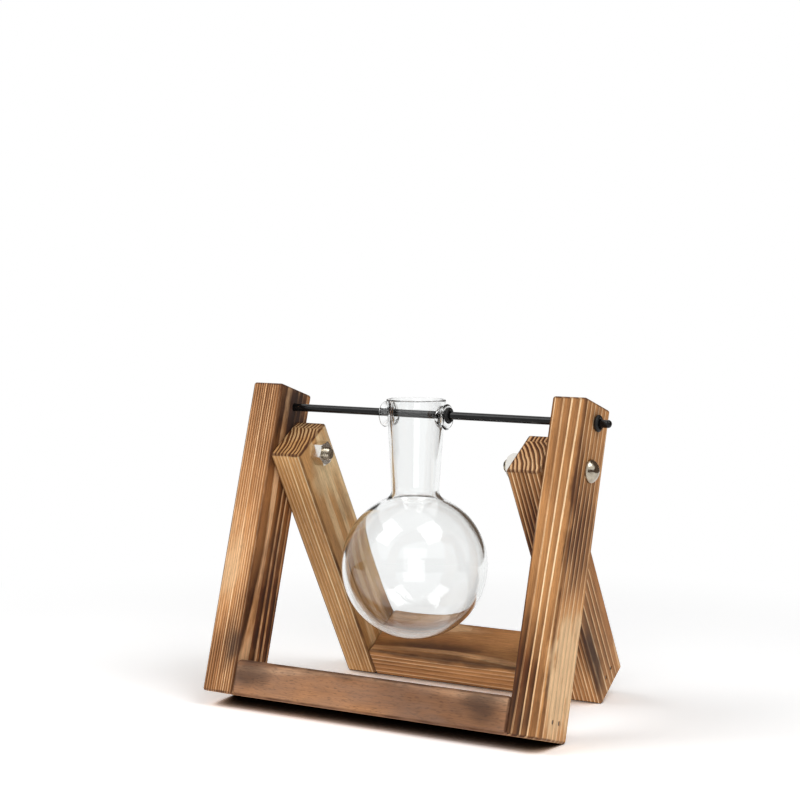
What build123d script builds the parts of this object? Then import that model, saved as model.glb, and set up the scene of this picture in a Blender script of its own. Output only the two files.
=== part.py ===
# Propagation vase: a blown glass bulb that hangs on a rod in a folding wooden stand.
# Millimetres, +Z up, +X along the rod to the right, the front of the stand towards -Y.
# The origin is on the floor, under the middle of the stand.

import os
from math import cos, radians, sin, sqrt

from build123d import *

# Stand
stand_width = 170.0
stick_width = 16.0
stick_depth = 26.0
edge_radius = 1.2
bar_corner_radius = 2.6
front_lean = 16.4
rear_lean = 31.6
front_leg_length = 144.0
front_head = 29.4
rear_head = 7.8
rod_rise = 20.9

# Pivot bolts and nuts
bolt_diameter = 6.0
bolt_length = 40.0
bolt_tip_chamfer = 0.6
bolt_head_diameter = 10.4
bolt_head_height = 4.0
bolt_head_edge = 0.9
nut_flats = 10.0
nut_height = 5.0
nut_corner_chamfer = 0.7
nut_turn = 30.0

# Brads in the feet
nail_diameter = 1.3
nail_length = 30.0
nail_head_diameter = 2.2
nail_head_height = 0.8
nail_sink = 0.4
nail_pitch = 6.4

# Rod and rubber rings
rod_diameter = 3.5
rod_overhang = 7.0
rod_end_radius = 1.4
ring_section = 1.9

# Glass vase, with heights counted from the axis of its side collars
vase_offset = -3.5
bulb_diameter = 66.5
bulb_drop = 68.2
glass_wall = 1.6
neck_foot_diameter = 21.2
neck_top_diameter = 26.4
shoulder_radius = 4.0
lip_rise = 0.5
lip_height = 2.2
lip_flare = 0.5
rim_radius_share = 0.33
collar_bore = 5.2
collar_wall = 1.5
collar_mouth = 12.0
collar_flare = 4.5
collar_root_radius = 0.6
collar_lip = 1.1
collar_edge_radius = 0.4

# Fits
frame_gap = 0.5
pivot_clearance = 0.1
rod_clearance = 0.1
ring_clearance = 0.05
seat_gap = 0.1
hang_gap = 0.05
cut_overrun = 5.0

# Faces of the legs, outwards from the middle
front_outer = stand_width / 2
front_inner = front_outer - stick_width
rear_outer = front_inner - frame_gap
rear_inner = rear_outer - stick_width

# The feet stand on eased lower edges, the front legs on the rear one and the rear legs on the front one.
front_tilt = radians(front_lean)
rear_tilt = radians(rear_lean)
front_foot = front_leg_length - front_head
half_flat = stick_depth / 2 - edge_radius
pivot_z = (front_foot - edge_radius) * cos(front_tilt) + half_flat * sin(front_tilt) + edge_radius
rear_foot = (pivot_z - edge_radius - half_flat * sin(rear_tilt)) / cos(rear_tilt) + edge_radius
front_reach = (front_foot - edge_radius) * sin(front_tilt) + half_flat * cos(front_tilt) + edge_radius
rear_reach = (rear_foot - edge_radius) * sin(rear_tilt) + half_flat * cos(rear_tilt) + edge_radius
pivot_y = (front_reach - rear_reach) / 2
rod_y = pivot_y + rod_rise * sin(front_tilt)
rod_z = pivot_z + rod_rise * cos(front_tilt)

# Side planes of the two frames: local X is the depth of a stick, local Y runs up the leg from the pivot.
front_side = Plane(
    origin=(0, pivot_y, pivot_z), x_dir=(0, cos(front_tilt), -sin(front_tilt)), z_dir=(1, 0, 0)
)
rear_side = Plane(
    origin=(0, pivot_y, pivot_z), x_dir=(0, cos(rear_tilt), sin(rear_tilt)), z_dir=(1, 0, 0)
)
nail_places = [(-nail_pitch / 2, 0), (nail_pitch / 2, 0)]
sides = {"left": -1, "right": 1}

# The lip starts above the roots of the collars, and the collars flare from the inside of the neck's wall.
throat = collar_bore / 2 + collar_wall
lip_foot = throat + collar_root_radius + lip_rise
rim_rise = lip_foot + lip_height
rim_diameter = neck_top_diameter + 2 * lip_flare
neck_foot = sqrt((bulb_diameter / 2) ** 2 - (neck_foot_diameter / 2) ** 2) - bulb_drop
neck_share = -neck_foot / (lip_foot - neck_foot)
neck_diameter = neck_foot_diameter + neck_share * (neck_top_diameter - neck_foot_diameter)
flare_start = neck_diameter / 2 - glass_wall
collar_length = flare_start + collar_flare


def leg(side, sign, outer, foot, head, bores):
    """A leg with its pivot and rod holes, and with stepped holes for the brads at its foot."""
    nail_height = stick_width / 2 - foot
    with BuildPart() as wood:
        with BuildSketch(side.offset(sign * outer)):
            with Locations((0, (head - foot) / 2)):
                Rectangle(stick_depth, head + foot)
        extrude(amount=-sign * stick_width)
        fillet(wood.edges(), edge_radius)
        for height, radius in bores:
            with BuildSketch(side.offset(sign * (outer + cut_overrun))):
                with Locations((0, height)):
                    Circle(radius)
            extrude(amount=-sign * (stick_width + 2 * cut_overrun), mode=Mode.SUBTRACT)
        with BuildSketch(side.offset(sign * outer)):
            with Locations((0, nail_height)):
                with Locations(*nail_places):
                    Circle(nail_head_diameter / 2)
        extrude(amount=-sign * (nail_sink + nail_head_height), mode=Mode.SUBTRACT)
        with BuildSketch(side.offset(sign * outer)):
            with Locations((0, nail_height)):
                with Locations(*nail_places):
                    Circle(nail_diameter / 2)
        extrude(amount=-sign * (stick_width + cut_overrun), mode=Mode.SUBTRACT)
    return wood.part


def cross_bar(side, inner, foot):
    """A bar between two legs, flush with their feet, with holes in its ends for the brads."""
    nail_hold = nail_sink + nail_length - stick_width
    bar_height = stick_width / 2 - foot
    depth_axis = Axis(side.origin, side.x_dir)
    with BuildPart() as wood:
        with BuildSketch(side.offset(-inner)):
            with Locations((0, bar_height)):
                Rectangle(stick_depth, stick_width)
        extrude(amount=2 * inner)
        fillet(wood.edges().filter_by(depth_axis), bar_corner_radius)
        outlines = wood.edges().group_by(depth_axis)
        fillet(outlines[0] + outlines[-1], edge_radius)
        for sign in sides.values():
            with BuildSketch(side.offset(sign * inner)):
                with Locations((0, bar_height)):
                    with Locations(*nail_places):
                        Circle(nail_diameter / 2)
            extrude(amount=-sign * nail_hold, mode=Mode.SUBTRACT)
    return wood.part


def nails(side, sign, outer, foot):
    """The two brads at one end of a bar, with their heads sunk in the leg."""
    nail_height = stick_width / 2 - foot
    head_top = outer - nail_sink
    with BuildPart() as brads:
        with BuildSketch(side.offset(sign * head_top)):
            with Locations((0, nail_height)):
                with Locations(*nail_places):
                    Circle(nail_head_diameter / 2)
        extrude(amount=-sign * nail_head_height)
        with BuildSketch(side.offset(sign * (head_top - nail_head_height))):
            with Locations((0, nail_height)):
                with Locations(*nail_places):
                    Circle(nail_diameter / 2)
        extrude(amount=-sign * (nail_length - nail_head_height))
    return brads.part


def pivot_bolt(sign):
    """A round-headed bolt, from the outer face of the front leg inwards."""
    shank = bolt_diameter / 2
    head = bolt_head_diameter / 2
    seat = Plane(origin=(sign * front_outer, pivot_y, pivot_z), x_dir=(-sign, 0, 0), z_dir=(0, sign, 0))
    with BuildPart() as bolt:
        with BuildSketch(seat):
            with BuildLine():
                TangentArc((-bolt_head_height, 0), (-bolt_head_edge, head), tangent=(0, 1))
                Polyline(
                    (-bolt_head_edge, head),
                    (0, head),
                    (0, shank),
                    (bolt_length - bolt_tip_chamfer, shank),
                    (bolt_length, shank - bolt_tip_chamfer),
                    (bolt_length, 0),
                    (-bolt_head_height, 0),
                )
            make_face()
        revolve(axis=Axis(seat.origin, seat.x_dir))
    return bolt.part


def hex_nut(sign):
    """A hexagon nut on the inner face of the rear leg, with its corners turned down."""
    corner = nut_flats / sqrt(3)
    face_x = sign * (rear_inner - seat_gap)
    seat = Plane(origin=(face_x, pivot_y, pivot_z), x_dir=(-sign, 0, 0), z_dir=(0, sign, 0))
    with BuildPart() as nut:
        with BuildSketch(front_side.offset(face_x)):
            RegularPolygon(nut_flats / 2, side_count=6, major_radius=False, rotation=nut_turn)
            Circle(bolt_diameter / 2, mode=Mode.SUBTRACT)
        extrude(amount=-sign * nut_height)
        with BuildSketch(seat):
            with BuildLine():
                Polyline(
                    (0, 0),
                    (0, corner),
                    (nut_height - nut_corner_chamfer / 2, corner),
                    (nut_height, corner - nut_corner_chamfer),
                    (nut_height, 0),
                    close=True,
                )
            make_face()
        revolve(axis=Axis(seat.origin, seat.x_dir), mode=Mode.INTERSECT)
    return nut.part


def rubber_ring(middle_x):
    """A round-section ring on the rod."""
    profile = Plane(origin=(middle_x, rod_y, rod_z), x_dir=(1, 0, 0), z_dir=(0, -1, 0))
    with BuildPart() as ring:
        with BuildSketch(profile):
            with Locations((0, rod_diameter / 2 + ring_clearance + ring_section / 2)):
                Circle(ring_section / 2)
        revolve(axis=Axis(profile.origin, profile.x_dir))
    return ring.part


def vessel_curve(inset):
    """The vessel's line from the bottom of the bulb up to the rim, inset from the outside of the glass."""
    bulb = bulb_diameter / 2 - inset
    foot = neck_foot_diameter / 2 - inset
    neck = neck_top_diameter / 2 - inset
    rim = rim_diameter / 2 - inset
    shoulder = (foot, sqrt(bulb**2 - foot**2) - bulb_drop)
    ThreePointArc((0, -bulb_drop - bulb), (bulb, -bulb_drop), shoulder)
    wall = Line(shoulder, (neck, lip_foot))
    TangentArc(wall @ 1, (rim, rim_rise), tangent=wall % 1)
    return shoulder


# Wooden frames
pivot_bore = (0, bolt_diameter / 2 + pivot_clearance)
rod_bore = (rod_rise, rod_diameter / 2 + rod_clearance)
pieces = {}
for name, sign in sides.items():
    pieces[f"front_leg_{name}"] = leg(
        front_side, sign, front_outer, front_foot, front_head, [pivot_bore, rod_bore]
    )
    pieces[f"rear_leg_{name}"] = leg(rear_side, sign, rear_outer, rear_foot, rear_head, [pivot_bore])
    pieces[f"front_nails_{name}"] = nails(front_side, sign, front_outer, front_foot)
    pieces[f"rear_nails_{name}"] = nails(rear_side, sign, rear_outer, rear_foot)
    pieces[f"pivot_bolt_{name}"] = pivot_bolt(sign)
    pieces[f"hex_nut_{name}"] = hex_nut(sign)
    pieces[f"end_ring_{name}"] = rubber_ring(sign * (front_outer + seat_gap + ring_section / 2))
pieces["front_cross_bar"] = cross_bar(front_side, front_inner, front_foot)
pieces["rear_cross_bar"] = cross_bar(rear_side, rear_inner, rear_foot)
pieces["vase_ring"] = rubber_ring(vase_offset + collar_length + seat_gap + ring_section / 2)

# Rod
with BuildPart() as rod:
    with BuildSketch(Plane(origin=(0, rod_y, rod_z), x_dir=(0, 1, 0), z_dir=(1, 0, 0))):
        Circle(rod_diameter / 2)
    extrude(amount=front_outer + rod_overhang, both=True)
    fillet(rod.edges().filter_by(GeomType.CIRCLE), rod_end_radius)
pieces["hanging_rod"] = rod.part

# Vase: the top of its collar bores hangs on the rod
collar_z = rod_z - (collar_bore - rod_diameter) / 2 + hang_gap
vase_middle = (vase_offset, rod_y, collar_z)
vessel_plane = Plane(origin=vase_middle, x_dir=(0, 1, 0), z_dir=(1, 0, 0))
collar_plane = Plane(origin=vase_middle, x_dir=(1, 0, 0), z_dir=(0, -1, 0))
vessel_axis = Axis(vase_middle, (0, 0, 1))
collar_axis = Axis(vase_middle, (1, 0, 0))
with BuildPart() as vase:
    with BuildSketch(vessel_plane) as outside:
        with BuildLine():
            outer_shoulder = vessel_curve(0)
            Polyline((rim_diameter / 2, rim_rise), (0, rim_rise), (0, -bulb_drop - bulb_diameter / 2))
        make_face()
        fillet(outside.vertices().sort_by_distance(outer_shoulder)[0], shoulder_radius)
    revolve(axis=vessel_axis)
    with BuildSketch(collar_plane):
        with BuildLine():
            flare = TangentArc((flare_start, throat), (collar_length, collar_mouth / 2), tangent=(1, 0))
            flare_way = flare % 1
            lip_inside = flare @ 1 + collar_lip * Vector(flare_way.Y, -flare_way.X)
            Polyline(flare @ 1, lip_inside, (lip_inside.X, 0), (0, 0), (0, throat), (flare_start, throat))
        make_face()
        mirror(about=Plane.YZ)
    revolve(axis=collar_axis)
    fillet(vase.edges(Select.NEW).filter_by(lambda edge: edge.length > collar_mouth), collar_root_radius)
    with BuildSketch(vessel_plane) as inside:
        inner_rim = rim_diameter / 2 - glass_wall
        cut_top = rim_rise + cut_overrun
        inner_bottom = glass_wall - bulb_drop - bulb_diameter / 2
        with BuildLine():
            inner_shoulder = vessel_curve(glass_wall)
            Polyline((inner_rim, rim_rise), (inner_rim, cut_top), (0, cut_top), (0, inner_bottom))
        make_face()
        fillet(inside.vertices().sort_by_distance(inner_shoulder)[0], shoulder_radius + glass_wall)
    revolve(axis=vessel_axis, mode=Mode.SUBTRACT)
    with BuildSketch(collar_plane):
        bore = collar_bore / 2
        with BuildLine():
            TangentArc((flare_start, bore), lip_inside, tangent=(1, 0))
            Polyline(lip_inside, (lip_inside.X, 0), (0, 0), (0, bore), (flare_start, bore))
        make_face()
        mirror(about=Plane.YZ)
    revolve(axis=collar_axis, mode=Mode.SUBTRACT)
    fillet(vase.edges().group_by(Axis.Z)[-1], rim_radius_share * glass_wall)
    collar_edges = vase.edges().filter_by(GeomType.CIRCLE).filter_by(
        lambda edge: abs(edge.arc_center.X - vase_offset) > collar_length - collar_edge_radius
    )
    fillet(collar_edges, collar_edge_radius)
pieces["glass_vase"] = vase.part

os.makedirs("parts", exist_ok=True)
for name, piece in pieces.items():
    piece.label = name
    export_step(piece, f"parts/{name}.step")
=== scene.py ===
# Propagation vase: a blown glass bulb that hangs on a rod in a folding stand of torched pine.
# Metres, +Z up, +X along the rod to the right, the front of the stand towards -Y.

import math

import bpy
from mathutils import Matrix, Vector


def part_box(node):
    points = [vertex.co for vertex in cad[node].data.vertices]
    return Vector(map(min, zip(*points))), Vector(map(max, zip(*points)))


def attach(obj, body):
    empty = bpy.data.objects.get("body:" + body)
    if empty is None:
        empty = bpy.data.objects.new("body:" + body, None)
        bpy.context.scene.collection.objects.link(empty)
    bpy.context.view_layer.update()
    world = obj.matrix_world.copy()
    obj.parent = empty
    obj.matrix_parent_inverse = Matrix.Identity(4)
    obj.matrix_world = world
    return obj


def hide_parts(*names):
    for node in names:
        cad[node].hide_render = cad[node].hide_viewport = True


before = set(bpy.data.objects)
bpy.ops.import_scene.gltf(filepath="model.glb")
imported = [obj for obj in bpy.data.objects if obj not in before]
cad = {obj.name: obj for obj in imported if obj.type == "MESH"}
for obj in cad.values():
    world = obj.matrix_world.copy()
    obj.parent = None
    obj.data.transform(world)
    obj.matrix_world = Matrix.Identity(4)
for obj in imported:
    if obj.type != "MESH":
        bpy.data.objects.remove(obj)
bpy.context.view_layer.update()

MM = 0.001
WHITE = (1, 1, 1, 1)

# Leans of the two frames in degrees, towards the back at the top
FRONT_LEAN = 16.4
REAR_LEAN = -31.6

# Colours of the wood, from lightly to heavily torched
EARLY_PALE = (0.60, 0.285, 0.105, 1)
EARLY_DARK = (0.14, 0.043, 0.012, 1)
LATE_PALE = (0.98, 0.74, 0.46, 1)
LATE_DARK = (0.66, 0.33, 0.125, 1)
WASHED = (0.80, 0.52, 0.28, 1)
SOOT = (0.22, 0.155, 0.125, 1)
SCORCHED_EDGE = (0.075, 0.028, 0.012, 1)
# Char, which also colours the painted shadows among the char patches
CHAR_AND_PAINTED_SHADE = (0.045, 0.028, 0.022, 1)

# Grain sizes of the wood in millimetres: across a stick, through its depth and along it
LINE_GRAIN = (4, 4, 45)
STRAY_GRAIN = (5, 5, 13)
HEAT_GRAIN = (20, 20, 60)
CHAR_GRAIN = (10, 10, 30)
EDGE_GRAIN = (5, 5, 14)
FIBRE_GRAIN = (0.35, 0.35, 11)
SOOT_GRAIN = (9, 9, 26)
FLECK_GRAIN = (0.5, 0.5, 2.5)

# Wood, in millimetres: how far patches stray, and where end grain and scorched edges fade in
STRAY_REACH = (9, 9, 18)
END_BAND = (1.0, 0.4)
EDGE_BAND = (1.4, 0.55)
SEAM_HALF_WIDTH = 0.1

# Wood: the pale lines' extra share of a ring on end grain, the most that char and painted shade
# cover, and the gloss and relief of its surface
END_LINE_GAIN = 0.18
CHAR_AND_SHADE_LIMIT = 0.92
WOOD_GLOSS = 0.15
WOOD_RELIEF = 0.25 * MM

# Grain sizes of the other finishes along each axis, and the relief of some of them
RIPPLE_GRAIN = (0.02, 0.02, 0.03)
PEEL_GRAIN = (0.004, 0.0012, 0.0012)
RUBBER_GRAIN = (0.0005, 0.0005, 0.0005)
WEAR_AND_MOTTLE_GRAIN = (0.002, 0.002, 0.002)
NAIL_GRAIN = (0.0008, 0.0008, 0.0008)
RIPPLE_RELIEF = 0.4 * MM
FINE_RELIEF = 0.1 * MM

# Shift of a noise, in grains, for each step of its seed
SEED_STRIDE = 7.3

# Pivot bolts in millimetres: along the bolt from under its head, and out from its axis
BOLT_LENGTH = 40.0
BOLT_RADIUS = 3.0
BOLT_CHAMFER = 0.6
HEAD_HEIGHT = 4.0
HEAD_EDGE = 0.9
HEAD_RADIUS = 5.2
THREAD_START = 36.0
THREAD_RUN_IN = 0.1
THREAD_PITCH = 1.0
THREAD_DEPTH = 0.45
THREAD_ROOT_SHARE = 0.2

# Mesh of a bolt: points round it, steps over its head and for each turn of the thread
BOLT_SIDES = 64
HEAD_STEPS = 14
TURN_STEPS = 10
SHARP_ANGLE = 35

# Camera: the point in the middle of the picture, and where it is seen from
VIEW_AIM = (-0.0085, -0.01595, 0.1397)
VIEW_AZIMUTH = 30.02
VIEW_ELEVATION = 4.055
VIEW_ROLL = 0.506
VIEW_DISTANCE = 0.8333
VIEW_LENS = 83.47

# Studio: light from all round, the floor as it lights the object and as it is seen, and a shadow
# painted on the floor close to the object
AMBIENT = 0.25
FLOOR_SIZE = 12.0
FLOOR_COLOUR = (0.9, 0.9, 0.9, 1)
FLOOR_SEEN = 1.35
FLOOR_BOUNCE = 0.45
FLOOR_FADE = (0.18, 0.4)
PAINTED_SHADOW_REACH = 0.012
PAINTED_SHADOW_SAMPLES = 16
PAINTED_SHADOW_RANGE = (0.08, 0.55)
LAMP_AIM = (0, 0, 0.08)
LAMP_POWER = 6.8


class Nodes:
    """A short way to write the nodes of a material or of the world."""

    def __init__(self, owner):
        owner.use_nodes = True
        self.owner = owner
        self.tree = owner.node_tree

    def named(self, name):
        return self.tree.nodes[name]

    def put(self, socket, value):
        if isinstance(value, bpy.types.NodeSocket):
            self.tree.links.new(value, socket)
        else:
            socket.default_value = value

    def add(self, kind, inputs=None, **settings):
        node = self.tree.nodes.new("ShaderNode" + kind)
        for key, value in settings.items():
            setattr(node, key, value)
        for key, value in (inputs or {}).items():
            self.put(node.inputs[key], value)
        return node

    def here(self):
        """The place on a piece, in the frame that it has at rest."""
        return self.add("TexCoord").outputs["Object"]

    def math(self, operation, *values):
        return self.add("Math", dict(enumerate(values)), operation=operation).outputs[0]

    def vector_math(self, operation, *values):
        return self.add("VectorMath", dict(enumerate(values)), operation=operation).outputs[0]

    def length(self, vector):
        return self.add("VectorMath", {0: vector}, operation="LENGTH").outputs["Value"]

    def blend(self, share, start, end):
        """The colour this share of the way from start to end."""
        mix = self.add("Mix", {0: share, 6: start, 7: end}, data_type="RGBA")
        return mix.outputs[2]

    def smooth(self, value, start, end, low=0.0, high=1.0):
        """Low where the value is at start, high where it is at end, and a soft step between."""
        inputs = {0: value, 1: start, 2: end, 3: low, 4: high}
        return self.add("MapRange", inputs, interpolation_type="SMOOTHSTEP").outputs[0]

    def place(self, vector, middle, size, turn=(0, 0, 0)):
        """The vector in the axes of a box with this middle, size and turn."""
        inputs = {"Vector": vector, "Location": middle, "Rotation": turn, "Scale": size}
        return self.add("Mapping", inputs, vector_type="TEXTURE").outputs[0]

    def noise(self, vector, size, seed, detail=2.0, output="Fac"):
        """Noise with grains of the given size along each axis."""
        shifted = self.place(vector, [seed * SEED_STRIDE * grain for grain in size], size)
        inputs = {"Vector": shifted, "Scale": 1.0, "Detail": detail}
        return self.add("TexNoise", inputs).outputs[output]

    def bump(self, height, strength, distance):
        inputs = {"Strength": strength, "Distance": distance, "Height": height}
        return self.add("Bump", inputs).outputs[0]

    def surface(self, shader):
        """Puts this shader on the surface."""
        self.put(self.named("Material Output").inputs["Surface"], shader.outputs[0])


def new_material(name):
    nodes = Nodes(bpy.data.materials.new(name))
    return nodes, nodes.named("Principled BSDF")


def dress(material, *names):
    for name in names:
        cad[name].data.materials.clear()
        cad[name].data.materials.append(material)


# Wood

def stick_axes(node, lean, along_x):
    """The stick's turn, and its middle and half sizes along its own axes.

    Its x goes across it, its y through its depth and its z along its grain.
    """
    tilt = math.radians(lean)
    across = Vector((1, 0, 0))
    depth = Vector((0, math.cos(tilt), -math.sin(tilt)))
    up = Vector((0, math.sin(tilt), math.cos(tilt)))
    rows = Matrix((-up, depth, across) if along_x else (across, depth, up))
    points = [rows @ vertex.co for vertex in cad[node].data.vertices]
    low = Vector(min(point[i] for point in points) for i in range(3))
    high = Vector(max(point[i] for point in points) for i in range(3))
    return rows.transposed(), (low + high) / 2, (high - low) / 2


def ring_radius(n, place, seed, pith, ring, slope, seam):
    """The distance from the pith, which is another one behind a glued seam."""
    x, y, z = n.add("SeparateXYZ", {0: place}).outputs
    pith_x, pith_y = pith
    if seam:
        depth, second = seam
        behind = n.smooth(y, depth - SEAM_HALF_WIDTH, depth + SEAM_HALF_WIDTH)
        pith_x = n.math("MULTIPLY_ADD", behind, second[0] - pith[0], pith[0])
        pith_y = n.math("MULTIPLY_ADD", behind, second[1] - pith[1], pith[1])
    off_x = n.math("SUBTRACT", n.math("MULTIPLY_ADD", z, slope[0], x), pith_x)
    off_y = n.math("SUBTRACT", n.math("MULTIPLY_ADD", z, slope[1], y), pith_y)
    square = n.math("MULTIPLY_ADD", off_x, off_x, n.math("MULTIPLY", off_y, off_y))
    radius = n.math("SQRT", square)
    wanders = (
        ((34, 34, 150), 1.4 * ring, 1.0),
        ((3 * ring, 3 * ring, 260), 0.5 * ring, 0.0),
        ((1, 1, 8), 0.14, 2.0),
    )
    for grain, reach, detail in wanders:
        wander = n.math("SUBTRACT", n.noise(place, grain, seed + reach, detail), 0.5)
        radius = n.math("MULTIPLY_ADD", wander, reach, radius)
    return radius


def ring_lines(n, place, seed, radius, ring, line_share, bold, end):
    """The place in a ring, where its pale line starts, the line, and how pale the line is."""
    count = n.math("DIVIDE", radius, ring)
    phase = n.math("FRACT", count)
    year = n.math("ADD", n.math("FLOOR", count), seed)
    lots = n.add("TexWhiteNoise", {"W": year}, noise_dimensions="1D").outputs
    start = n.math("MULTIPLY_ADD", lots["Value"], 0.8 * line_share, 1 - 1.4 * line_share)
    start = n.math("MULTIPLY_ADD", end, -END_LINE_GAIN, start)
    full = n.math("ADD", start, 0.4 * line_share)
    line = n.math("MAXIMUM", n.smooth(phase, start, full), n.smooth(phase, 0.0, 0.07, 1.0, 0.0))

    lot = n.add("SeparateColor", {0: lots["Color"]}).outputs["Green"]
    year_weight = n.smooth(lot, 0.0, 0.8, 0.3 * bold, bold)
    year_weight = n.math("MAXIMUM", year_weight, n.math("MULTIPLY", end, 0.9 * bold))
    along = n.smooth(n.noise(place, LINE_GRAIN, seed + 1), 0.3, 0.55, 0.5, 1.0)
    length_weight = n.math("MAXIMUM", end, along)
    weight = n.math("MULTIPLY", line, n.math("MULTIPLY", year_weight, length_weight))
    return phase, start, line, weight


def add_patches(n, vector, patches, value):
    """The value with soft patches added to it, each with its middle, half sizes and strength."""
    for middle, size, strength in patches:
        away = n.length(n.place(vector, middle, size))
        value = n.math("MULTIPLY_ADD", n.smooth(away, 1.0, 0.2), strength, value)
    return value


def torch_marks(n, place, seed, end, torch, end_torch, tones, char_and_shade_patches):
    """The heat, which turns wood from washed to brown, and a mask of char and painted shadow."""
    stray = n.noise(place, STRAY_GRAIN, seed + 2, 3.0, "Color")
    stray = n.vector_math("SUBTRACT", stray, (0.5, 0.5, 0.5))
    shaken = n.vector_math("MULTIPLY_ADD", stray, STRAY_REACH, place)
    heat = n.noise(place, HEAT_GRAIN, seed + 3)
    heat = n.smooth(heat, 0.3, 0.72, torch - 0.25, torch + 0.25)
    heat = n.math("MULTIPLY_ADD", end, end_torch, heat)
    heat = add_patches(n, shaken, tones, heat)
    char_and_painted_shade = n.smooth(n.noise(place, CHAR_GRAIN, seed + 4), 0.6, 0.85)
    char_and_painted_shade = add_patches(n, shaken, char_and_shade_patches, n.math("MULTIPLY", char_and_painted_shade, 0.2))
    return heat, n.math("MINIMUM", char_and_painted_shade, CHAR_AND_SHADE_LIMIT)


def arris(n, place, half):
    """1 along the edges of a stick with these half sizes, 0 a little way in from them."""
    position = n.add("SeparateXYZ", {0: place}).outputs
    gaps = [n.math("SUBTRACT", half[i], n.math("ABSOLUTE", position[i])) for i in range(3)]
    least = n.math("MINIMUM", gaps[0], gaps[1])
    most = n.math("MAXIMUM", gaps[0], gaps[1])
    second = n.math("MAXIMUM", least, n.math("MINIMUM", most, gaps[2]))
    return n.smooth(second, *EDGE_BAND)


def torched_pine(
    node, lean, along_x, seed, pith, ring, line_share, bold=0.9, flank=0.5, slope=(0, 0),
    seam=None, torch=0.5, end_torch=0.3, tones=(), char_and_shade_patches=(), soot=0.0, flecks=0.15,
    tint=(1, 1, 1),
):
    """Pine with growth rings about a pith line, browned by a torch, in millimetres.

    ring is a ring's width, line_share the share of its pale line, bold the line's weight and
    flank how dark the wood beside the line is. slope is how far the rings shift for each
    millimetre along the stick. seam is the depth of a glued seam and the pith behind it.
    torch is the heat all over, and end_torch is added to it on end grain. tones are patches of
    heat, and the other patches are char, with a few painted shadows among them. soot and flecks are
    shares, and tint multiplies the wood's colour.
    """
    n, shader = new_material("torched_pine_" + node)
    turn, middle, half = stick_axes(node, lean, along_x)
    half = half / MM
    place = n.place(n.here(), turn @ middle, (MM, MM, MM), turn.to_euler())

    z = n.add("SeparateXYZ", {0: place}).outputs[2]
    end = n.smooth(n.math("ABSOLUTE", z), half[2] - END_BAND[0], half[2] - END_BAND[1])
    radius = ring_radius(n, place, seed, pith, ring, slope, seam)
    phase, line_start, line, line_weight = ring_lines(
        n, place, seed, radius, ring, line_share, bold, end
    )
    heat, char_and_painted_shade = torch_marks(n, place, seed, end, torch, end_torch, tones, char_and_shade_patches)
    edge = n.smooth(n.noise(place, EDGE_GRAIN, seed + 5), 0.3, 0.7, 0.35, 0.95)
    edge = n.math("MULTIPLY", arris(n, place, half), edge)

    # Pale lines in browned wood, which is darkest beside a line
    early = n.blend(heat, EARLY_PALE, EARLY_DARK)
    late = n.blend(n.math("MULTIPLY", heat, 0.8), LATE_PALE, LATE_DARK)
    colour = n.blend(line_weight, early, late)
    colour = n.blend(n.smooth(heat, 0.0, -0.5), colour, WASHED)
    flank_depth = n.smooth(heat, 0.2, 0.8, 0.35 * flank, flank)
    flank_depth = n.math("MULTIPLY", flank_depth, n.smooth(phase, 0.1, line_start))
    flank_depth = n.math("MULTIPLY", flank_depth, n.math("SUBTRACT", 1.0, line))
    colour = n.vector_math("MULTIPLY", colour, n.math("SUBTRACT", 1.0, flank_depth))

    # Fibres and flecks, then soot, scorched edges, and char with some painted shadows
    fibre = n.noise(place, FIBRE_GRAIN, seed + 6, 3.0)
    fleck = n.smooth(n.noise(place, FLECK_GRAIN, seed + 8, 1.0), 0.55, 0.7, 0.0, flecks)
    streak = n.math("SUBTRACT", n.smooth(fibre, 0.25, 0.75, 0.78, 1.2), fleck)
    colour = n.vector_math("MULTIPLY", colour, streak)
    colour = n.vector_math("MULTIPLY", colour, tint)
    film = n.noise(place, SOOT_GRAIN, seed + 7, 3.0)
    film = n.smooth(film, 0.3, 0.7, 0.6 * soot, 1.4 * soot)
    colour = n.blend(film, colour, SOOT)
    colour = n.blend(edge, colour, SCORCHED_EDGE)
    colour = n.blend(char_and_painted_shade, colour, CHAR_AND_PAINTED_SHADE)

    height = n.math("MULTIPLY_ADD", fibre, 0.5, line)
    dullness = n.math("MULTIPLY_ADD", char_and_painted_shade, 0.2, n.smooth(fibre, 0.2, 0.8, 0.5, 0.66))
    n.put(shader.inputs["Base Color"], colour)
    n.put(shader.inputs["Roughness"], dullness)
    n.put(shader.inputs["Normal"], n.bump(height, 0.35, WOOD_RELIEF))
    shader.inputs["Specular IOR Level"].default_value = WOOD_GLOSS
    dress(n.owner, node)


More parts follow.
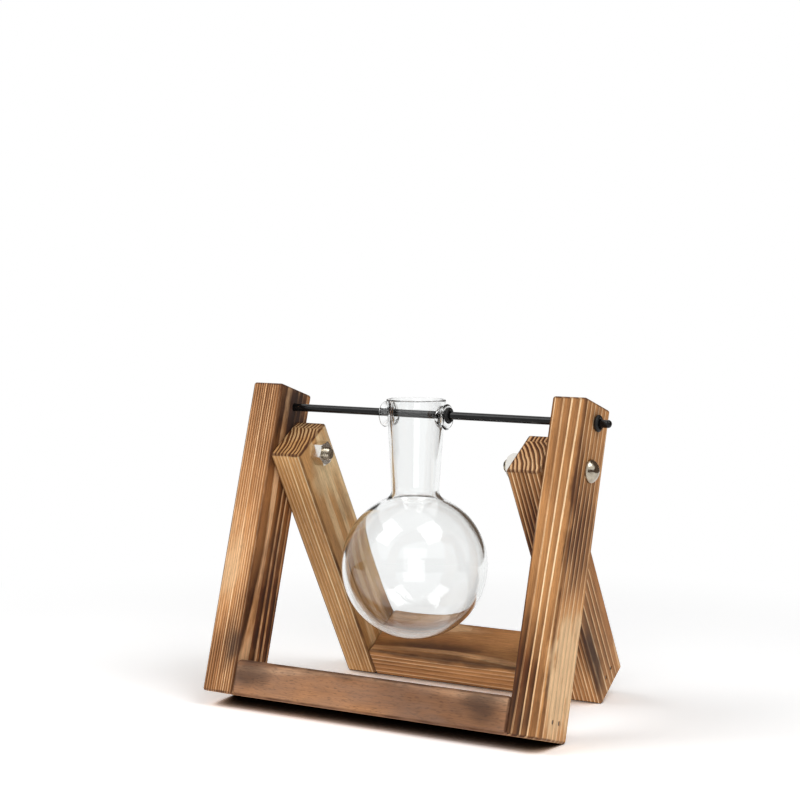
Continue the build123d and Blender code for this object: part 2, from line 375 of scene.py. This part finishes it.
torched_pine(
    "front_leg_right", FRONT_LEAN, False, seed=11, pith=(-37, -46), ring=2.9,
    line_share=0.16, bold=1.0, flank=0.75, slope=(-0.03, 0.01), torch=0.2,
    tones=[
        ((-6, -15, -50), (20, 9, 60), 0.72),
        ((9, 2, 12), (5, 22, 40), 0.55),
        ((9, 0, -42), (5, 24, 40), -1.0),
        ((9, -11, 32), (4, 6, 56), 0.4),
    ],
    char_and_shade_patches=[
        ((8, 0, 63.5), (4, 7, 7), 0.6),
        ((9, -12, 32), (4, 3, 50), 0.12),
        ((-6, -14, -60), (10, 5, 30), 0.3),
    ],
)
torched_pine(
    "front_leg_left", FRONT_LEAN, False, seed=23, pith=(-55, -14), ring=1.3,
    line_share=0.34, bold=1.0, flank=0.7, torch=0.5, tint=(1.03, 0.97, 0.95),
    tones=[
        ((-3, -14, -12), (14, 8, 38), -0.7),
        ((0, -14, 62), (14, 8, 30), 0.3),
        ((10, 3, 50), (5, 20, 34), 0.85),
        ((10, 3, -40), (5, 20, 44), 0.75),
    ],
    char_and_shade_patches=[
        ((5, -14, -49), (7, 6, 15), 0.7),
        # Burnt edge of the rod's hole on the inner face, with the rod's shadow painted in round it
        ((9, 1, 62), (6, 18, 30), 0.9),
        ((10, 3, -30), (4, 16, 70), 0.58),
    ],
)
torched_pine(
    "rear_leg_left", REAR_LEAN, False, seed=37, pith=(-53, -15), ring=1.95,
    line_share=0.3, bold=0.8, flank=0.45, seam=(8.2, (-54, 27)),
    # Torched less than the other sticks, so paler: partly lighter wood, and partly painted light
    # standing in for the floor's light on its downward-leaning front face
    torch=-0.06, end_torch=1.2, tint=(0.97, 1.06, 1.06),
    tones=[
        ((9, 0, 50), (6, 20, 20), -0.45),
        ((9, 2, 8), (5, 14, 24), 0.3),
        ((0, -14, -50), (14, 8, 30), 0.3),
    ],
    char_and_shade_patches=[
        ((9, 6, 22), (5, 8, 14), 0.4),
        ((9, 8, -50), (6, 10, 20), 0.5),
        # Painted shadow: darkens the top end and back face behind the seam, where the rod's shadow
        # falls
        ((0, 13, 66), (14, 5, 5), 0.4),
    ],
)
torched_pine(
    "rear_leg_right", REAR_LEAN, False, seed=41, pith=(-52, -30), ring=1.85,
    line_share=0.28, bold=1.0, flank=0.7, seam=(8.2, (-59, 10)), torch=0.52,
    tones=[((0, -14, 10), (14, 6, 60), 0.5)],
    char_and_shade_patches=[((8, -9, -40), (6, 9, 34), 0.9), ((0, -14, 10), (14, 5, 50), 0.52)],
)
torched_pine(
    "front_cross_bar", FRONT_LEAN, True, seed=53, pith=(5, 60), ring=3.2,
    line_share=0.35, bold=0.4, torch=0.3, soot=0.35, flecks=0.35, tint=(1.0, 0.96, 1.02),
    tones=[((7, -13, -20), (6, 8, 55), -0.2)],
    char_and_shade_patches=[
        ((-3, -13, -62), (10, 7, 18), 0.6),
        ((-2, -13, 56), (11, 7, 16), 0.7),
        ((-9, -13, -10), (5, 8, 66), 0.5),
    ],
)
torched_pine(
    "rear_cross_bar", REAR_LEAN, True, seed=67, pith=(60, 6), ring=2.6,
    line_share=0.25, bold=0.5, flank=0.75, torch=0.3,
    tones=[((-9, 0, 0), (5, 22, 80), 0.25)],
    char_and_shade_patches=[((-8, -12, 0), (4, 5, 66), 0.6), ((-8, 0, 48), (6, 14, 18), 0.75)],
)


# Glass

def clear_glass():
    """Clear glass with a slight ripple, a little darker where a ray runs far inside it."""
    n, shader = new_material("clear_glass")
    ripple = n.noise(n.here(), RIPPLE_GRAIN, 5)
    shader.inputs["Base Color"].default_value = (0.985, 0.992, 0.99, 1)
    shader.inputs["Transmission Weight"].default_value = 1.0
    shader.inputs["IOR"].default_value = 1.47
    shader.inputs["Roughness"].default_value = 0.0
    n.put(shader.inputs["Normal"], n.bump(ripple, 0.12, RIPPLE_RELIEF))
    murk = n.add("VolumeAbsorption", {"Color": (0.80, 0.82, 0.82, 1), "Density": 60.0})
    n.put(n.named("Material Output").inputs["Volume"], murk.outputs[0])
    dress(n.owner, "glass_vase")


clear_glass()


# Rod, rings and fasteners

def black_rod():
    n, shader = new_material("black_rod")
    peel = n.noise(n.here(), PEEL_GRAIN, 3)
    shade = n.smooth(peel, 0.3, 0.7)
    colour = n.blend(shade, (0.003, 0.003, 0.0032, 1), (0.007, 0.007, 0.0072, 1))
    n.put(shader.inputs["Base Color"], colour)
    n.put(shader.inputs["Roughness"], n.smooth(peel, 0.3, 0.7, 0.06, 0.12))
    n.put(shader.inputs["Normal"], n.bump(peel, 0.1, FINE_RELIEF))
    shader.inputs["Specular IOR Level"].default_value = 0.22
    dress(n.owner, "hanging_rod")


def black_rubber():
    n, shader = new_material("black_rubber")
    grain = n.noise(n.here(), RUBBER_GRAIN, 8, detail=3.0)
    colour = n.blend(grain, (0.004, 0.004, 0.004, 1), (0.011, 0.011, 0.011, 1))
    n.put(shader.inputs["Base Color"], colour)
    n.put(shader.inputs["Roughness"], n.smooth(grain, 0.2, 0.8, 0.42, 0.62))
    n.put(shader.inputs["Normal"], n.bump(grain, 0.2, FINE_RELIEF))
    shader.inputs["Specular IOR Level"].default_value = 0.3
    dress(n.owner, "end_ring_left", "end_ring_right", "vase_ring")


def bright_metal(name, bright, worn_and_painted_shade):
    n, shader = new_material(name)
    # Mottle: wear, and on the bolt also painted dark reflections
    wear_and_painted_mottle = n.noise(n.here(), WEAR_AND_MOTTLE_GRAIN, 4, detail=4.0)
    shader.inputs["Metallic"].default_value = 1.0
    n.put(shader.inputs["Base Color"], n.blend(wear_and_painted_mottle, bright, worn_and_painted_shade))
    n.put(shader.inputs["Roughness"], n.smooth(wear_and_painted_mottle, 0.35, 0.7, 0.14, 0.26))
    return n.owner


def nail_steel():
    n, shader = new_material("nail_steel")
    soot = n.noise(n.here(), NAIL_GRAIN, 6, detail=3.0)
    shader.inputs["Metallic"].default_value = 1.0
    colour = n.blend(soot, (0.34, 0.31, 0.28, 1), (0.1, 0.08, 0.07, 1))
    n.put(shader.inputs["Base Color"], colour)
    n.put(shader.inputs["Roughness"], n.smooth(soot, 0.3, 0.7, 0.35, 0.6))
    for place in ("front", "rear"):
        dress(n.owner, place + "_nails_left", place + "_nails_right")


def bolt_rows():
    """(place along the bolt, radius, depth of the thread there) from its head to its tip."""
    dome = HEAD_HEIGHT - HEAD_EDGE
    head_round = (HEAD_RADIUS**2 + dome**2) / (2 * dome)
    widest = math.asin(HEAD_RADIUS / head_round)
    for step in range(1, HEAD_STEPS + 1):
        angle = widest * step / HEAD_STEPS
        along = head_round * (1 - math.cos(angle)) - HEAD_HEIGHT
        yield along, head_round * math.sin(angle), 0.0
    yield 0.0, HEAD_RADIUS, 0.0
    yield 0.0, BOLT_RADIUS, 0.0
    yield THREAD_START - THREAD_RUN_IN, BOLT_RADIUS, 0.0
    steps = round((BOLT_LENGTH - THREAD_START) / THREAD_PITCH * TURN_STEPS)
    for step in range(steps + 1):
        along = THREAD_START + step * THREAD_PITCH / TURN_STEPS
        chamfer = BOLT_RADIUS - BOLT_CHAMFER + BOLT_LENGTH - along
        yield along, min(BOLT_RADIUS, chamfer), THREAD_DEPTH


def threaded_bolt(side, sign, metal):
    """The pivot bolt with the thread that shows beyond its nut. It stands for the plain bolt."""
    node = "pivot_bolt_" + side
    low, high = (Vector(corner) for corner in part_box(node))
    seat = (low if sign > 0 else high).x + sign * BOLT_LENGTH * MM
    middle = (low + high) / 2

    def point(along, out, turn):
        return (
            seat - sign * along * MM,
            middle.y + out * math.cos(turn) * MM,
            middle.z + sign * out * math.sin(turn) * MM,
        )

    points = []
    rows = list(bolt_rows())
    for along, radius, depth in rows:
        for i in range(BOLT_SIDES):
            phase = (along / THREAD_PITCH - i / BOLT_SIDES) % 1
            groove = min(1.0, (0.5 - abs(phase - 0.5)) / (0.5 - THREAD_ROOT_SHARE / 2))
            out = min(radius, BOLT_RADIUS - depth * groove) if depth else radius
            points.append(point(along, out, 2 * math.pi * i / BOLT_SIDES))
    top, tip = len(points), len(points) + 1
    points += [point(-HEAD_HEIGHT, 0, 0), point(BOLT_LENGTH, 0, 0)]
    last = (len(rows) - 1) * BOLT_SIDES
    faces = []
    for i in range(BOLT_SIDES):
        j = (i + 1) % BOLT_SIDES
        faces.append((top, i, j))
        for start in range(0, last, BOLT_SIDES):
            following = start + BOLT_SIDES
            faces.append((start + i, following + i, following + j, start + j))
        faces.append((tip, last + j, last + i))

    mesh = bpy.data.meshes.new("threaded_bolt_" + side)
    mesh.from_pydata(points, [], faces)
    mesh.shade_smooth()
    mesh.set_sharp_from_angle(angle=math.radians(SHARP_ANGLE))
    mesh.materials.append(metal)
    bolt = bpy.data.objects.new("threaded_bolt_" + side, mesh)
    bpy.context.scene.collection.objects.link(bolt)
    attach(bolt, "front_frame")
    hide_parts(node)


black_rod()
black_rubber()
# Bolt and nut are one bright metal in two copies. The bolt's copy is painted darker and browner,
# with a strong mottle, standing in for the dark brownish reflections on its domed head.
bolt_metal_painted_shade = bright_metal("bolt_metal_painted_shade", (0.60, 0.54, 0.44, 1), (0.30, 0.26, 0.20, 1))
threaded_bolt("left", -1, bolt_metal_painted_shade)
threaded_bolt("right", 1, bolt_metal_painted_shade)
# The nut's copy is painted paler, standing in for the white reflection on its facets
nut_metal_painted_light = bright_metal("nut_metal_painted_light", (0.84, 0.82, 0.78, 1), (0.66, 0.63, 0.57, 1))
dress(nut_metal_painted_light, "hex_nut_left", "hex_nut_right")
nail_steel()


# Studio

def seen_share(n):
    """1 for rays that show the background, straight on, in glass or in metal.

    It is 0 for rays that light the object.
    """
    ray = n.add("LightPath").outputs
    mirrored = n.math("MAXIMUM", ray["Is Glossy Ray"], ray["Is Transmission Ray"])
    return n.math("MAXIMUM", ray["Is Camera Ray"], mirrored)


def white_world():
    world = bpy.data.worlds.new("studio")
    bpy.context.scene.world = world
    n = Nodes(world)
    background = n.named("Background")
    background.inputs["Color"].default_value = WHITE
    strength = n.math("MULTIPLY_ADD", seen_share(n), 1 - AMBIENT, AMBIENT)
    n.put(background.inputs["Strength"], strength)


def pale_floor():
    """A floor that keeps the object's shadow, adds a contact shadow painted in from ambient
    occlusion where it is seen, and turns white away from the object.
    """
    bpy.ops.mesh.primitive_plane_add(size=FLOOR_SIZE)
    floor = bpy.context.object
    floor.name = "floor"
    n, shader = new_material("pale_floor")
    seen = seen_share(n)
    # Painted shadow: ambient occlusion darkens the floor's seen colour close to the object
    painted_contact_shadow = n.add("AmbientOcclusion", {"Distance": PAINTED_SHADOW_REACH}, samples=PAINTED_SHADOW_SAMPLES)
    seen_colour_with_painted_shadow = n.smooth(painted_contact_shadow.outputs["AO"], *PAINTED_SHADOW_RANGE, 0.0, FLOOR_SEEN)
    paint = n.add("BsdfDiffuse", {"Color": n.blend(seen, FLOOR_COLOUR, seen_colour_with_painted_shadow)})
    bounce = n.math("MULTIPLY_ADD", seen, -FLOOR_BOUNCE, FLOOR_BOUNCE)
    glow = n.add("Emission", {"Color": WHITE, "Strength": bounce})
    near = n.add("AddShader", {0: paint.outputs[0], 1: glow.outputs[0]})
    white = n.add("Emission", {"Color": WHITE, "Strength": 1.0})
    far = n.math("MULTIPLY", seen, n.smooth(n.length(n.here()), *FLOOR_FADE))
    n.surface(n.add("MixShader", {0: far, 1: near.outputs[0], 2: white.outputs[0]}))
    n.tree.nodes.remove(shader)
    floor.data.materials.append(n.owner)


def dark_flag(name, start, end, height, colour):
    """A dark upright board that only metal and glass show.

    Each end is a distance to the right of the object and one beyond it, as the camera sees it.
    """
    azimuth = math.radians(VIEW_AZIMUTH)
    right = Vector((math.cos(azimuth), math.sin(azimuth), 0))
    ahead = Vector((-math.sin(azimuth), math.cos(azimuth), 0))
    feet = [right * across + ahead * along for across, along in (start, end)]
    corners = feet + [foot + Vector((0, 0, height)) for foot in reversed(feet)]
    board = bpy.data.meshes.new(name)
    board.from_pydata(corners, [], [(0, 1, 2, 3)])
    flag = bpy.data.objects.new(name, board)
    bpy.context.scene.collection.objects.link(flag)
    flag.visible_camera = False
    flag.visible_diffuse = False
    flag.visible_shadow = False
    n, shader = new_material(name)
    n.surface(n.add("Emission", {"Color": colour, "Strength": 1.0}))
    n.tree.nodes.remove(shader)
    board.materials.append(n.owner)


def soft_box(name, location, size, mirrored=True):
    """A square lamp aimed at the object. Where it isn't mirrored, metal and glass don't show it."""
    lamp = bpy.data.lights.new(name, "AREA")
    lamp.shape = "SQUARE"
    lamp.size = size
    lamp.energy = LAMP_POWER
    box = bpy.data.objects.new(name, lamp)
    box.location = location
    ray = Vector(LAMP_AIM) - Vector(location)
    box.rotation_euler = ray.to_track_quat("-Z", "Y").to_euler()
    box.visible_glossy = mirrored
    bpy.context.scene.collection.objects.link(box)


def photo_camera():
    """The camera, fitted to the photo."""
    azimuth = math.radians(VIEW_AZIMUTH)
    elevation = math.radians(VIEW_ELEVATION)
    roll = math.radians(VIEW_ROLL)
    right = Vector((math.cos(azimuth), math.sin(azimuth), 0))
    level = math.cos(elevation)
    back = Vector((math.sin(azimuth) * level, -math.cos(azimuth) * level, math.sin(elevation)))
    up = back.cross(right)
    rolled_right = right * math.cos(roll) + up * math.sin(roll)
    rolled_up = up * math.cos(roll) - right * math.sin(roll)
    lens = bpy.data.cameras.new("photo_camera")
    lens.lens = VIEW_LENS
    camera = bpy.data.objects.new("photo_camera", lens)
    position = Vector(VIEW_AIM) + back * VIEW_DISTANCE
    turn = Matrix((rolled_right, rolled_up, back)).transposed()
    camera.matrix_world = Matrix.LocRotScale(position, turn, None)
    bpy.context.scene.collection.objects.link(camera)
    bpy.context.scene.camera = camera


white_world()
pale_floor()
dark_flag("right_flag", (0.62, -0.1), (0.62, 2.9), 1.5, (0.13, 0.095, 0.07, 1))
dark_flag("left_flag", (-0.62, -0.1), (-0.62, 2.9), 0.8, (0.06, 0.055, 0.05, 1))
dark_flag("front_flag", (0.2, -1.2), (1.5, -0.9), 0.5, (0.1, 0.07, 0.05, 1))
dark_flag("corner_flag", (0.62, -0.1), (1.5, -0.9), 0.34, (0.1, 0.07, 0.05, 1))
soft_box("key", (-0.61, -0.68, 1.16), 0.8)
soft_box("fill", (0.75, -0.19, 1.28), 0.8)
soft_box("front", (0.72, -1.25, 0.55), 1.0, mirrored=False)
photo_camera()
bpy.context.scene.view_settings.view_transform = "Standard"
